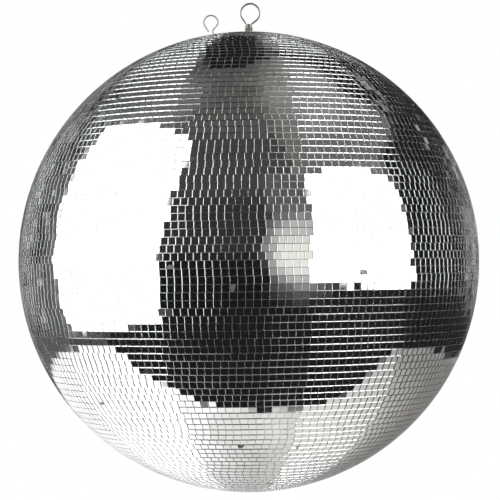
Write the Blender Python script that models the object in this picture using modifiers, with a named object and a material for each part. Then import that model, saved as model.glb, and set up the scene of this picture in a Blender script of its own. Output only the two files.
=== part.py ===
"""Hanging mirror ball: strip loop, swivel stem, glass-tiled plastic shell and safety eye.

Metres, +Z up. The origin is where the hook bears: the inner crown of the loop, on the stem's
axis. The loop stays on its hook, the stem swings in the loop on a rivet, and the ball turns
on the stem. Heights called "up" are measured from the ball's centre.
"""

import math

import bmesh
import bpy
from mathutils import Vector

CLEAR = 0.0003  # gap between pieces that touch
LOOSE = 0.0004  # gap round a piece in a hole, and behind one on a wall
ROUND_SIDES = 24
SMALL_SIDES = 12
SHARP_ANGLE = math.radians(30)

# Ball: rows of square mirrors, grouped in bands from the equator to each pole
BALL_RADIUS = 0.250
BAND_ROWS = (6, 6, 6, 6, 6, 7, 7, 7)
ROW_ANGLE = math.pi / 2 / sum(BAND_ROWS)
ROW_JOINT = 0.0006
TILE_DEPTH = 0.0017
BAND_FACETS = 2
BALL_SIDES = 40
SIDE_FLAT = math.cos(math.pi / BALL_SIDES)  # how far in the middle of a side lies
SHELL_RADIUS = BALL_RADIUS - TILE_DEPTH - LOOSE
SHELL_WALL = 0.003
SHELL_INSIDE = SHELL_RADIUS - SHELL_WALL
STEM_CLEARANCE = 0.0049
POLE_MIRROR_RADIUS = 0.0074
POLE_MIRROR_DEPTH = 0.0015
PLUG_SINK = 0.001  # how far the plug's flange lies inside the shell
PLUG_FLANGE_RADIUS = 0.0095
PLUG_FLANGE_DEPTH = 0.0018

# Hanging loop: one bent strip, its legs riveted to the tongue of the stem
STRIP_THICKNESS = 0.0013
STRIP_WIDTH = 0.007
LOOP_RADIUS = 0.01035  # to the middle of the strip
LOOP_CENTRE = Vector((0.0015, 0.272))  # the loop leans a little to one side
LOOP_STEP = math.radians(12)
LEG_INSIDE = 0.0021
LEG_TOP_UP = 0.2600
LEG_BEND = 0.0014
PIVOT_UP = 0.2547
CROWN_UP = LOOP_CENTRE.y + LOOP_RADIUS * math.cos(LOOP_STEP / 2) - STRIP_THICKNESS / 2

RIVET_RADIUS = 0.0015
RIVET_HEAD_RADIUS = 0.003
RIVET_TAIL_RADIUS = 0.0023
RIVET_EDGE = 0.0003  # height of a head's straight rim
RIVET_DOME = 0.0003
RIVET_SEAT = 0.00015

# Stem: a flat tongue on an M8 rod
STEM_RADIUS = 0.004
STEM_SHOULDER_UP = PIVOT_UP - STRIP_WIDTH / 2 - CLEAR
STEM_BOTTOM_UP = 0.2235
STEM_CHAMFER = 0.0008
STEM_EDGE = 0.0003  # the smaller chamfer at the shoulder
TONGUE_ROOT = 0.001
TONGUE_THICKNESS = 0.0037
TONGUE_TOP_UP = 0.2599

# Top plate and the swivel under it
BUSH_RADIUS = 0.0062
BUSH_HOLE = BUSH_RADIUS + LOOSE
BUSH_BORE = STEM_RADIUS + CLEAR
BUSH_TOP_UP = 0.2473
BUSH_FLANGE_RADIUS = 0.012
BUSH_FLANGE_UP = 0.2406
BUSH_FLANGE_DEPTH = 0.002
THRUST_WASHER_RADIUS = 0.011
THRUST_WASHER_DEPTH = 0.0015
STEM_NUT_FLATS = 0.013
STEM_NUT_HEIGHT = 0.0095
NUT_SLOT_WIDTH = 0.003
NUT_SLOT_DEPTH = 0.0032
SPLIT_PIN_RADIUS = 0.001
SPLIT_PIN_REACH = STEM_NUT_FLATS / 2 + 0.002
PLATE_RADIUS = 0.050
PLATE_DEPTH = 0.003
PLATE_RIVET_LEAN = math.radians(6.3)  # angle from the pole

# Ring that joins the two half shells
RING_HALF_HEIGHT = 0.020
RING_WALL = 0.003
RING_RIVET_LATITUDE = math.radians(2.4)

# Blind rivets through a shell and the piece behind it
BLIND_RADIUS = 0.0019
BLIND_HEAD_RADIUS = 0.0034
BLIND_HEAD_DEPTH = 0.0015
BLIND_TAIL_RADIUS = 0.0031
BLIND_GRIP = 0.0071
BLIND_TAIL_DEPTH = 0.0014
BLIND_SINK = 0.00015
BLIND_OVERCUT = 0.001  # how far a rivet's hole is cut past its ends

# Safety eye: an open loop of bent wire beside the hanging loop
EYE_LEAN = math.radians(8.9)  # angle from the pole, towards -X
EYE_WIRE_RADIUS = 0.0008
EYE_SHANK_TOP = 0.2562
EYE_SHANK_BOTTOM = 0.2325
EYE_CENTRE = Vector((-0.0415, 0.26185))
EYE_RADIUS = 0.0077
EYE_SHOULDER = Vector((-0.0347, 0.2590))
EYE_TIP = Vector((-0.0439, 0.2515))
EYE_ARC = (math.radians(-10), math.radians(206))
EYE_BEND = 0.0016
EYE_STEPS = 16
EYE_HOLE = EYE_WIRE_RADIUS + LOOSE
EYE_WASHER_RADIUS = 0.004
EYE_WASHER_DEPTH = 0.0008
EYE_NUT_FLATS = 0.0045
EYE_NUT_HEIGHT = 0.0017
EYE_SEAT_DROP = 0.0012  # from the top plate's underside to the washer

HOLE_LENGTH = 0.02

BALL_CENTRE = Vector((0, 0, -CROWN_UP))

STEM_WASHER_UP = BUSH_FLANGE_UP - BUSH_FLANGE_DEPTH - CLEAR
STEM_NUT_UP = STEM_WASHER_UP - THRUST_WASHER_DEPTH - CLEAR
SPLIT_PIN_UP = STEM_NUT_UP - STEM_NUT_HEIGHT + NUT_SLOT_DEPTH / 2


def clear_scene():
    for thing in list(bpy.data.objects):
        bpy.data.objects.remove(thing, do_unlink=True)


def new_collection(name):
    collection = bpy.data.collections.new(name)
    bpy.context.scene.collection.children.link(collection)
    return collection


def new_finish(name, colour, roughness, metallic):
    finish = bpy.data.materials.new(name)
    finish.use_nodes = True
    shader = finish.node_tree.nodes["Principled BSDF"]
    shader.inputs["Base Color"].default_value = (*colour, 1)
    shader.inputs["Roughness"].default_value = roughness
    shader.inputs["Metallic"].default_value = metallic
    return finish


clear_scene()
PARTS = new_collection("mirror_ball")
CUTTERS = new_collection("mirror_ball_cutters")

MIRROR = new_finish("mirror_glass", (0.88, 0.89, 0.88), 0.03, 1.0)
PLASTIC = new_finish("grey_abs", (0.42, 0.42, 0.40), 0.55, 0.0)
ZINC = new_finish("zinc_plated_steel", (0.45, 0.45, 0.40), 0.38, 1.0)
CHROME = new_finish("bright_plated_steel", (0.62, 0.61, 0.58), 0.22, 1.0)
NYLON = new_finish("white_nylon", (0.80, 0.79, 0.74), 0.45, 0.0)


def new_frame(name, up):
    """An empty on a joint's axis, this far above the ball's centre."""
    frame = bpy.data.objects.new(name, None)
    frame.location = BALL_CENTRE + Vector((0, 0, up))
    frame.empty_display_size = 0.02
    PARTS.objects.link(frame)
    return frame


LOOP_FRAME = new_frame("loop_frame", CROWN_UP)
STEM_FRAME = new_frame("stem_pivot_frame", PIVOT_UP)
BALL_FRAME = new_frame("ball_spin_frame", 0)


def add_object(name, data, frame, location=(0, 0, 0), rotation=(0, 0, 0)):
    """Links an object into the parts. Its location is measured from the ball's centre."""
    thing = bpy.data.objects.new(name, data)
    thing.parent = frame
    thing.location = BALL_CENTRE + Vector(location) - frame.location
    thing.rotation_euler = rotation
    PARTS.objects.link(thing)
    return thing


def bake(thing):
    """Puts the result of an object's modifiers, or of a curve, in a welded mesh of its own."""
    graph = bpy.context.evaluated_depsgraph_get()
    mesh = bpy.data.meshes.new_from_object(thing.evaluated_get(graph))
    bm = bmesh.new()
    bm.from_mesh(mesh)
    bmesh.ops.remove_doubles(bm, verts=bm.verts, dist=1e-6)
    bm.to_mesh(mesh)
    bm.free()
    mesh.shade_smooth()
    mesh.set_sharp_from_angle(angle=SHARP_ANGLE)
    thing.modifiers.clear()
    thing.data = mesh


def paint(thing, finish):
    thing.data.materials.clear()
    thing.data.materials.append(finish)


def turned(name, profile, finish, frame, location=(0, 0, 0), rotation=(0, 0, 0), sides=ROUND_SIDES):
    """A turned piece. The profile of (radius, height) points runs down its outer side.

    A profile that starts on the axis ends there too; any other one is closed into a ring.
    """
    bm = bmesh.new()
    corners = [bm.verts.new((radius, 0, height)) for radius, height in profile]
    ends = corners[1:] if profile[0][0] == 0 else corners[1:] + corners[:1]
    for start, end in zip(corners, ends):
        bm.edges.new((start, end))
    mesh = bpy.data.meshes.new(name)
    bm.to_mesh(mesh)
    bm.free()
    piece = add_object(name, mesh, frame, location, rotation)
    screw = piece.modifiers.new("turn", "SCREW")
    screw.steps = screw.render_steps = sides
    screw.use_merge_vertices = True
    screw.merge_threshold = 1e-6
    bake(piece)
    paint(piece, finish)
    return piece


def primitive(name, frame, location, rotation, build):
    """An object whose mesh is made by one bmesh operator."""
    bm = bmesh.new()
    build(bm)
    mesh = bpy.data.meshes.new(name)
    bm.to_mesh(mesh)
    bm.free()
    return add_object(name, mesh, frame, location, rotation)


def prism(name, radius, depth, frame, location=(0, 0, 0), rotation=(0, 0, 0), sides=ROUND_SIDES):
    """A cylinder, or a hexagon with six sides, along its own Z."""
    def build(bm):
        bmesh.ops.create_cone(
            bm, cap_ends=True, segments=sides, radius1=radius, radius2=radius, depth=depth
        )
    return primitive(name, frame, location, rotation, build)


def block(name, size, frame, location=(0, 0, 0), rotation=(0, 0, 0)):
    def build(bm):
        bmesh.ops.create_cube(bm, size=1)
        bmesh.ops.scale(bm, vec=size, verts=bm.verts)
    return primitive(name, frame, location, rotation, build)


def as_cutter(thing):
    PARTS.objects.unlink(thing)
    CUTTERS.objects.link(thing)
    thing.hide_render = True
    thing.display_type = "WIRE"
    return thing


def combine(piece, other, operation):
    boolean = piece.modifiers.new(f"{operation.lower()}_{other.name}", "BOOLEAN")
    boolean.operation = operation
    boolean.object = other
    boolean.solver = "EXACT"


def cut(piece, *cutters):
    for cutter in cutters:
        combine(piece, cutter, "DIFFERENCE")


def eased(corners, reach, steps=4):
    """The path through these corners, each one rounded over this reach on both sides."""
    path = [corners[0]]
    for before, corner, after in zip(corners, corners[1:], corners[2:]):
        start = corner + (before - corner).normalized() * reach
        end = corner + (after - corner).normalized() * reach
        for step in range(steps + 1):
            t = step / steps
            path.append(start * (1 - t) ** 2 + corner * (2 * t * (1 - t)) + end * t**2)
    path.append(corners[-1])
    return path


def on_circle(centre, radius, angle):
    return centre + radius * Vector((math.cos(angle), math.sin(angle)))


def from_pole(distance, lean, azimuth):
    """The point this far from the ball's centre, leaning this much from the pole."""
    flat = distance * math.sin(lean)
    return Vector((flat * math.cos(azimuth), flat * math.sin(azimuth), distance * math.cos(lean)))


# --- Hanging loop ---------------------------------------------------------------------------


def tangent_angle(point, side):
    """Where on the loop's circle a leg from this point meets it: side is 1 left, -1 right."""
    away = LOOP_CENTRE - point
    bearing = math.atan2(away.y, away.x)
    spread = math.asin(LOOP_RADIUS / away.length)
    return bearing + side * (spread + math.pi / 2)


def loop_path():
    """The middle of the strip, from the end of the left leg over the crown to the right one."""
    leg = LEG_INSIDE + STRIP_THICKNESS / 2
    left_top = Vector((-leg, LEG_TOP_UP))
    right_top = Vector((leg, LEG_TOP_UP))
    left_end = tangent_angle(left_top, 1)
    right_end = tangent_angle(right_top, -1)
    crown = math.pi / 2 + LOOP_STEP / 2
    before = math.floor((left_end - crown) / LOOP_STEP)
    after = math.floor((crown - right_end) / LOOP_STEP)
    inner = [crown - step * LOOP_STEP for step in range(-before, after + 1)]
    bow = [on_circle(LOOP_CENTRE, LOOP_RADIUS, angle) for angle in (left_end, *inner, right_end)]
    bottom = PIVOT_UP - STRIP_WIDTH / 2
    left = eased([Vector((-leg, bottom)), left_top, bow[0]], LEG_BEND)
    right = eased([bow[-1], right_top, Vector((leg, bottom))], LEG_BEND)
    return left[:-1] + bow + right[1:]


def strip_half_width(up):
    """Half the strip's width at this height on a leg, whose end is round about the pivot."""
    below = max(PIVOT_UP - up, 0)
    full = STRIP_WIDTH / 2
    return math.sqrt(max(full**2 - below**2, (full / 8) ** 2))


def add_round_end(path):
    """Adds points to a path's first leg, close enough together for its round end."""
    start, top = path[0], path[1]
    drops = [math.sin(math.pi / 2 * part) for part in (1, 0.85, 0.7, 0.5, 0.25, 0)]
    steps = [Vector((start.x, PIVOT_UP - STRIP_WIDTH / 2 * drop)) for drop in drops]
    return steps + [top] + path[2:]


def hanging_loop(rivet_hole):
    path = add_round_end(loop_path())
    path = list(reversed(add_round_end(list(reversed(path)))))
    bm = bmesh.new()
    rails = []
    for point in path:
        half = strip_half_width(point.y)
        rails.append([bm.verts.new((point.x, side * half, point.y)) for side in (-1, 1)])
    for first, second in zip(rails, rails[1:]):
        bm.faces.new((first[0], first[1], second[1], second[0]))
    mesh = bpy.data.meshes.new("hanging_loop")
    bm.to_mesh(mesh)
    bm.free()
    loop = add_object("hanging_loop", mesh, LOOP_FRAME)
    skin = loop.modifiers.new("thickness", "SOLIDIFY")
    skin.thickness = STRIP_THICKNESS
    skin.offset = 0
    skin.use_even_offset = True
    bake(loop)
    cut(loop, rivet_hole)
    paint(loop, CHROME)


def loop_rivet():
    leg = LEG_INSIDE + STRIP_THICKNESS + RIVET_SEAT
    rim = leg + RIVET_EDGE
    top = rim + RIVET_DOME
    profile = [
        (0, top),
        (RIVET_TAIL_RADIUS * 0.7, top),
        (RIVET_TAIL_RADIUS, rim),
        (RIVET_TAIL_RADIUS, leg),
        (RIVET_RADIUS, leg),
        (RIVET_RADIUS, -leg),
        (RIVET_HEAD_RADIUS, -leg),
        (RIVET_HEAD_RADIUS, -rim),
        (RIVET_HEAD_RADIUS * 0.75, -top),
        (0, -top),
    ]
    turned("loop_rivet", profile, ZINC, LOOP_FRAME, (0, 0, PIVOT_UP), (0, math.pi / 2, 0))


# --- Stem and the swivel under the top plate -----------------------------------------------


def swivel_stem(rivet_hole, pin_hole):
    profile = [
        (0, STEM_SHOULDER_UP),
        (STEM_RADIUS - STEM_EDGE, STEM_SHOULDER_UP),
        (STEM_RADIUS, STEM_SHOULDER_UP - STEM_EDGE),
        (STEM_RADIUS, STEM_BOTTOM_UP + STEM_CHAMFER),
        (STEM_RADIUS - STEM_CHAMFER, STEM_BOTTOM_UP),
        (0, STEM_BOTTOM_UP),
    ]
    stem = turned("swivel_stem", profile, ZINC, STEM_FRAME)
    root = STEM_SHOULDER_UP - TONGUE_ROOT
    tongue = block(
        "tongue_add",
        (TONGUE_THICKNESS, STRIP_WIDTH, TONGUE_TOP_UP - root),
        STEM_FRAME,
        (0, 0, (TONGUE_TOP_UP + root) / 2),
    )
    combine(stem, as_cutter(tongue), "UNION")
    cut(stem, rivet_hole, pin_hole)


def swivel_bush():
    bottom = BUSH_FLANGE_UP - BUSH_FLANGE_DEPTH
    profile = [
        (BUSH_RADIUS, BUSH_TOP_UP),
        (BUSH_RADIUS, BUSH_FLANGE_UP),
        (BUSH_FLANGE_RADIUS, BUSH_FLANGE_UP),
        (BUSH_FLANGE_RADIUS, bottom),
        (BUSH_BORE, bottom),
        (BUSH_BORE, BUSH_TOP_UP),
    ]
    turned("swivel_bush", profile, NYLON, BALL_FRAME)


def flat_ring(name, outer, bore, top, depth, finish, frame, location=(0, 0, 0), rotation=(0, 0, 0)):
    profile = [(outer, top), (outer, top - depth), (bore, top - depth), (bore, top)]
    turned(name, profile, finish, frame, location, rotation)


def hex_nut(name, flats, height, bore, frame, location, rotation=(0, 0, 0)):
    corner = flats / 2 / math.cos(math.pi / 6)
    nut = prism(name, corner, height, frame, location, rotation, sides=6)
    hole = prism(f"{name}_bore", bore, 2 * height, frame, location, rotation, sides=SMALL_SIDES)
    cut(nut, as_cutter(hole))
    paint(nut, ZINC)
    return nut


def stem_fastenings():
    """The thrust washer, castle nut and split pin that carry the ball, under the bush."""
    flat_ring(
        "thrust_washer", THRUST_WASHER_RADIUS, BUSH_BORE, STEM_WASHER_UP,
        THRUST_WASHER_DEPTH, ZINC, STEM_FRAME,
    )
    middle = (0, 0, STEM_NUT_UP - STEM_NUT_HEIGHT / 2)
    nut = hex_nut("stem_castle_nut", STEM_NUT_FLATS, STEM_NUT_HEIGHT, BUSH_BORE, STEM_FRAME, middle)
    for number in range(3):
        slot = block(
            f"castle_slot_{number + 1}",
            (NUT_SLOT_WIDTH, 2 * STEM_NUT_FLATS, 2 * NUT_SLOT_DEPTH),
            STEM_FRAME,
            (0, 0, STEM_NUT_UP - STEM_NUT_HEIGHT),
            (0, 0, math.radians(60 * number)),
        )
        cut(nut, as_cutter(slot))
    corners = [
        (0, -SPLIT_PIN_REACH, -0.0022),
        (0, -SPLIT_PIN_REACH, 0),
        (0, SPLIT_PIN_REACH, 0),
        (0, SPLIT_PIN_REACH + 0.001, -0.0026),
    ]
    path = eased([Vector(corner) for corner in corners], 0.0012, steps=3)
    pin = wire("stem_split_pin", path, SPLIT_PIN_RADIUS, STEM_FRAME, (0, 0, SPLIT_PIN_UP))
    paint(pin, ZINC)


def wire(name, path, radius, frame, location=(0, 0, 0)):
    """A bent wire through these points, as a curve with round section and closed ends."""
    curve = bpy.data.curves.new(name, "CURVE")
    curve.dimensions = "3D"
    curve.bevel_depth = radius
    curve.bevel_resolution = 2
    curve.use_fill_caps = True
    spline = curve.splines.new("POLY")
    spline.points.add(len(path) - 1)
    for slot, point in zip(spline.points, path):
        slot.co = (*point, 1)
    return add_object(name, curve, frame, location)


# --- Shells, joining ring and mirror bands --------------------------------------------------


def band_edges():
    """Latitudes of the joints between bands, from the equator to the pole."""
    edges = [0.0]
    for rows in BAND_ROWS:
        edges.append(edges[-1] + rows * ROW_ANGLE)
    return edges


EDGES = band_edges()


def at_latitude(radius, latitude):
    return (radius * math.cos(latitude), radius * math.sin(latitude))


def wall_distance(radius, lean):
    """Distance from the ball's centre to a faceted wall, along a line that leans this much
    from the pole and lies over the middle of a side."""
    latitude = math.pi / 2 - lean
    lower = max(edge for edge in EDGES[:-1] if edge <= latitude)
    upper = EDGES[EDGES.index(lower) + 1]
    flat, high = at_latitude(radius, lower)
    start = Vector((flat * SIDE_FLAT, high))
    flat, high = at_latitude(radius, upper)
    run = Vector((flat * SIDE_FLAT, high)) - start
    ray = Vector((math.sin(lean), math.cos(lean)))
    return start.cross(run) / ray.cross(run)


def pole_edge(radius, hole):
    return math.acos(hole / radius)


def half_shell_profile():
    """A bowl with its mouth at the equator and a hole at the pole."""
    outer = [at_latitude(SHELL_RADIUS, edge) for edge in EDGES[1:-1]]
    inner = [at_latitude(SHELL_INSIDE, edge) for edge in EDGES[1:-1]]
    mouth = CLEAR / 2
    return (
        [at_latitude(SHELL_RADIUS, pole_edge(SHELL_RADIUS, BUSH_HOLE))]
        + outer[::-1]
        + [(SHELL_RADIUS, mouth), (SHELL_INSIDE, mouth)]
        + inner
        + [at_latitude(SHELL_INSIDE, pole_edge(SHELL_INSIDE, BUSH_HOLE))]
    )


def band_profile(lower, upper):
    """A band between two latitudes: fine facets outside, and one inside."""
    inside = BALL_RADIUS - TILE_DEPTH
    steps = [upper + (lower - upper) * step / BAND_FACETS for step in range(BAND_FACETS + 1)]
    outer = [at_latitude(BALL_RADIUS, latitude) for latitude in steps]
    return outer + [at_latitude(inside, lower), at_latitude(inside, upper)]


def pole_band_profile(lower, hole):
    inside = BALL_RADIUS - TILE_DEPTH
    upper = pole_edge(BALL_RADIUS, hole)
    profile = band_profile(lower, upper)
    return profile[:-1] + [at_latitude(inside, pole_edge(inside, hole))]


def mirror_bands(eye_hole):
    half_joint = ROW_JOINT / 2 / BALL_RADIUS
    flip = (math.pi, 0, 0)
    for number, (lower, upper) in enumerate(zip(EDGES, EDGES[1:-1]), 1):
        profile = band_profile(lower + half_joint, upper - half_joint)
        band = turned(
            f"mirror_band_upper_{number}", profile, MIRROR, BALL_FRAME, sides=BALL_SIDES
        )
        add_object(f"mirror_band_lower_{number}", band.data, BALL_FRAME, rotation=flip)
    last = len(BAND_ROWS)
    lower = EDGES[-2] + half_joint
    profile = pole_band_profile(lower, STEM_CLEARANCE)
    band = turned(f"mirror_band_upper_{last}", profile, MIRROR, BALL_FRAME, sides=BALL_SIDES)
    cut(band, eye_hole)
    profile = pole_band_profile(lower, POLE_MIRROR_RADIUS + LOOSE)
    turned(
        f"mirror_band_lower_{last}", profile, MIRROR, BALL_FRAME, rotation=flip, sides=BALL_SIDES
    )
    profile = [
        (0, BALL_RADIUS),
        (POLE_MIRROR_RADIUS, BALL_RADIUS),
        (POLE_MIRROR_RADIUS, BALL_RADIUS - POLE_MIRROR_DEPTH),
        (0, BALL_RADIUS - POLE_MIRROR_DEPTH),
    ]
    turned("bottom_pole_mirror", profile, MIRROR, BALL_FRAME, rotation=flip)


def bottom_plug():
    """Closes the moulding hole at the bottom of the lower shell, from inside."""
    flange_top = SHELL_INSIDE - PLUG_SINK
    flange_bottom = flange_top - PLUG_FLANGE_DEPTH
    profile = [
        (0, SHELL_RADIUS - LOOSE),
        (BUSH_RADIUS, SHELL_RADIUS - LOOSE),
        (BUSH_RADIUS, flange_top),
        (PLUG_FLANGE_RADIUS, flange_top),
        (PLUG_FLANGE_RADIUS, flange_bottom),
        (0, flange_bottom),
    ]
    turned("bottom_plug", profile, PLASTIC, BALL_FRAME, rotation=(math.pi, 0, 0))


def blind_rivet(name, lean, azimuth, below_equator=False):
    """A countersunk blind rivet, flush in the outside of a shell, and the cutter for its hole."""
    lean_down = math.pi - lean if below_equator else lean
    distance = wall_distance(SHELL_RADIUS, lean) - BLIND_SINK
    place = from_pole(distance, lean_down, azimuth)
    turn = (0, lean_down, azimuth)
    profile = [
        (0, 0),
        (BLIND_HEAD_RADIUS, 0),
        (BLIND_RADIUS, -BLIND_HEAD_DEPTH),
        (BLIND_RADIUS, -BLIND_GRIP),
        (BLIND_TAIL_RADIUS, -BLIND_GRIP),
        (BLIND_TAIL_RADIUS * 0.8, -BLIND_GRIP - BLIND_TAIL_DEPTH),
        (0, -BLIND_GRIP - BLIND_TAIL_DEPTH),
    ]
    turned(name, profile, ZINC, BALL_FRAME, place, turn, sides=SMALL_SIDES)
    hole = BLIND_RADIUS + LOOSE
    profile = [
        (0, BLIND_OVERCUT),
        (BLIND_HEAD_RADIUS + LOOSE + BLIND_OVERCUT, BLIND_OVERCUT),
        (hole, -BLIND_HEAD_DEPTH),
        (hole, -BLIND_GRIP - BLIND_OVERCUT),
        (0, -BLIND_GRIP - BLIND_OVERCUT),
    ]
    cutter = turned(f"{name}_hole", profile, ZINC, BALL_FRAME, place, turn, sides=SMALL_SIDES)
    return as_cutter(cutter)


def joining_ring(holes):
    """A band inside the equator that both half shells are riveted to."""
    flat, high = at_latitude(SHELL_INSIDE, EDGES[1])
    taper = (SHELL_INSIDE - flat) * RING_HALF_HEIGHT / high
    middle = SHELL_INSIDE - LOOSE
    edge = middle - taper
    profile = [
        (edge, RING_HALF_HEIGHT),
        (middle, 0),
        (edge, -RING_HALF_HEIGHT),
        (edge - RING_WALL, -RING_HALF_HEIGHT),
        (middle - RING_WALL, 0),
        (edge - RING_WALL, RING_HALF_HEIGHT),
    ]
    ring = turned("joining_ring", profile, PLASTIC, BALL_FRAME, sides=BALL_SIDES)
    cut(ring, *holes)


def top_plate(holes):
    """A shallow cone under the top of the upper shell, which the swivel and the eye hang on."""
    hole_flat, hole_up = at_latitude(SHELL_INSIDE, pole_edge(SHELL_INSIDE, BUSH_HOLE))
    edge_flat, edge_up = at_latitude(SHELL_INSIDE, EDGES[-2])
    slope = (edge_up - hole_up) / (edge_flat - hole_flat)
    top = hole_up - LOOSE
    rim = top + slope * (PLATE_RADIUS - hole_flat)
    profile = [
        (BUSH_HOLE, top),
        (PLATE_RADIUS, rim),
        (PLATE_RADIUS, rim - PLATE_DEPTH),
        (BUSH_HOLE, top - PLATE_DEPTH),
    ]
    plate = turned("top_plate", profile, ZINC, BALL_FRAME, sides=BALL_SIDES)
    cut(plate, *holes)


def ball_core(eye_hole):
    side = math.pi / BALL_SIDES
    plate_holes = [
        blind_rivet(f"top_plate_rivet_{n + 1}", PLATE_RIVET_LEAN, math.radians(45 + 90 * n) + side)
        for n in range(4)
    ]
    ring_lean = math.pi / 2 - RING_RIVET_LATITUDE
    upper_holes = [
        blind_rivet(f"ring_rivet_upper_{n + 1}", ring_lean, math.radians(90 * n) + side)
        for n in range(4)
    ]
    lower_holes = [
        blind_rivet(f"ring_rivet_lower_{n + 1}", ring_lean, math.radians(45 + 90 * n) + side, True)
        for n in range(4)
    ]
    upper = turned("upper_shell", half_shell_profile(), PLASTIC, BALL_FRAME, sides=BALL_SIDES)
    cut(upper, eye_hole, *plate_holes, *upper_holes)
    lower = turned(
        "lower_shell", half_shell_profile(), PLASTIC, BALL_FRAME,
        rotation=(math.pi, 0, 0), sides=BALL_SIDES,
    )
    cut(lower, *lower_holes)
    joining_ring(upper_holes + lower_holes)
    top_plate([eye_hole, *plate_holes])
    bottom_plug()


# --- Safety eye -----------------------------------------------------------------------------


def safety_eye():
    def shank(distance):
        point = from_pole(distance, EYE_LEAN, math.pi)
        return Vector((point.x, point.z))

    sweep = (EYE_ARC[1] - EYE_ARC[0]) / EYE_STEPS
    angles = [EYE_ARC[0] + sweep * step for step in range(EYE_STEPS + 1)]
    bow = [on_circle(EYE_CENTRE, EYE_RADIUS, angle) for angle in angles]
    neck = eased([shank(EYE_SHANK_BOTTOM), shank(EYE_SHANK_TOP), EYE_SHOULDER, bow[0]], EYE_BEND)
    flat = neck[:-1] + bow + [EYE_TIP]
    path = [Vector((point.x, 0, point.y)) for point in flat]
    eye = wire("safety_eye", path, EYE_WIRE_RADIUS, BALL_FRAME)
    paint(eye, ZINC)

    turn = (0, EYE_LEAN, math.pi)
    seat = wall_distance(SHELL_INSIDE, EYE_LEAN) - PLATE_DEPTH - EYE_SEAT_DROP
    at_seat = from_pole(seat, EYE_LEAN, math.pi)
    flat_ring(
        "safety_eye_washer", EYE_WASHER_RADIUS, EYE_HOLE, 0,
        EYE_WASHER_DEPTH, ZINC, BALL_FRAME, at_seat, turn,
    )
    for number, name in enumerate(("safety_eye_nut", "safety_eye_locknut")):
        drop = EYE_WASHER_DEPTH + CLEAR + EYE_NUT_HEIGHT / 2 + number * (EYE_NUT_HEIGHT + CLEAR)
        place = from_pole(seat - drop, EYE_LEAN, math.pi)
        hex_nut(name, EYE_NUT_FLATS, EYE_NUT_HEIGHT, EYE_HOLE, BALL_FRAME, place, turn)


def main():
    rivet_hole = as_cutter(prism(
        "rivet_hole", RIVET_RADIUS + CLEAR, HOLE_LENGTH, LOOP_FRAME,
        (0, 0, PIVOT_UP), (0, math.pi / 2, 0),
    ))
    pin_hole = as_cutter(prism(
        "split_pin_hole", SPLIT_PIN_RADIUS + CLEAR, HOLE_LENGTH, STEM_FRAME,
        (0, 0, SPLIT_PIN_UP), (math.pi / 2, 0, 0), sides=SMALL_SIDES,
    ))
    eye_hole = as_cutter(prism(
        "safety_eye_hole", EYE_HOLE, HOLE_LENGTH, BALL_FRAME,
        from_pole(SHELL_INSIDE, EYE_LEAN, math.pi), (0, EYE_LEAN, math.pi), sides=SMALL_SIDES,
    ))
    hanging_loop(rivet_hole)
    loop_rivet()
    swivel_stem(rivet_hole, pin_hole)
    swivel_bush()
    stem_fastenings()
    ball_core(eye_hole)
    mirror_bands(eye_hole)
    safety_eye()


main()
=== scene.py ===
"""Looks of the hanging mirror ball: glass tiles, loop, rivet, stem and safety eye on the frame.

Metres, +Z up, in the row frame. Azimuth 0 is the camera's side (-Y) and +90 is +X.
"""

import math
import random

import bmesh
import bpy
from mathutils import Matrix, Vector


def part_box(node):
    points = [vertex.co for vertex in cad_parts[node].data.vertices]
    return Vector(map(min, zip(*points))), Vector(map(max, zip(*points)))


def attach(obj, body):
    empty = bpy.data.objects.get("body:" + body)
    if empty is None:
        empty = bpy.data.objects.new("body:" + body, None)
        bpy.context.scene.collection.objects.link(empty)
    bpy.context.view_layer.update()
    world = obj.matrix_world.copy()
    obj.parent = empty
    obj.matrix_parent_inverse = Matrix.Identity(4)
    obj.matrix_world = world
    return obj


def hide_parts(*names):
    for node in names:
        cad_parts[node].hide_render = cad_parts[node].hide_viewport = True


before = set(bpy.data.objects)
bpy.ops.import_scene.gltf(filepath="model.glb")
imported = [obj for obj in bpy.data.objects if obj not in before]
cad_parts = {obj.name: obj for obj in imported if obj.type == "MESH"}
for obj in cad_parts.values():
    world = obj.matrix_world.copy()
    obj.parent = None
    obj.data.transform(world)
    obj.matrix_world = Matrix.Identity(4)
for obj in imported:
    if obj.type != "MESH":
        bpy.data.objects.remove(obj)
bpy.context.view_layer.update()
RANDOM = random.Random(20)

UPPER_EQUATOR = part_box("mirror_band_upper_1")
LOWER_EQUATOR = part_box("mirror_band_lower_1")
BALL_CENTRE = Vector((0, 0, (UPPER_EQUATOR[0].z + LOWER_EQUATOR[1].z) / 2))
PIVOT = sum(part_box("loop_rivet"), Vector()) / 2
PIVOT.x = 0

MM = 0.001
PRINCIPLED = "Principled BSDF"


# --- Node helpers ---------------------------------------------------------------------------


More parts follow.
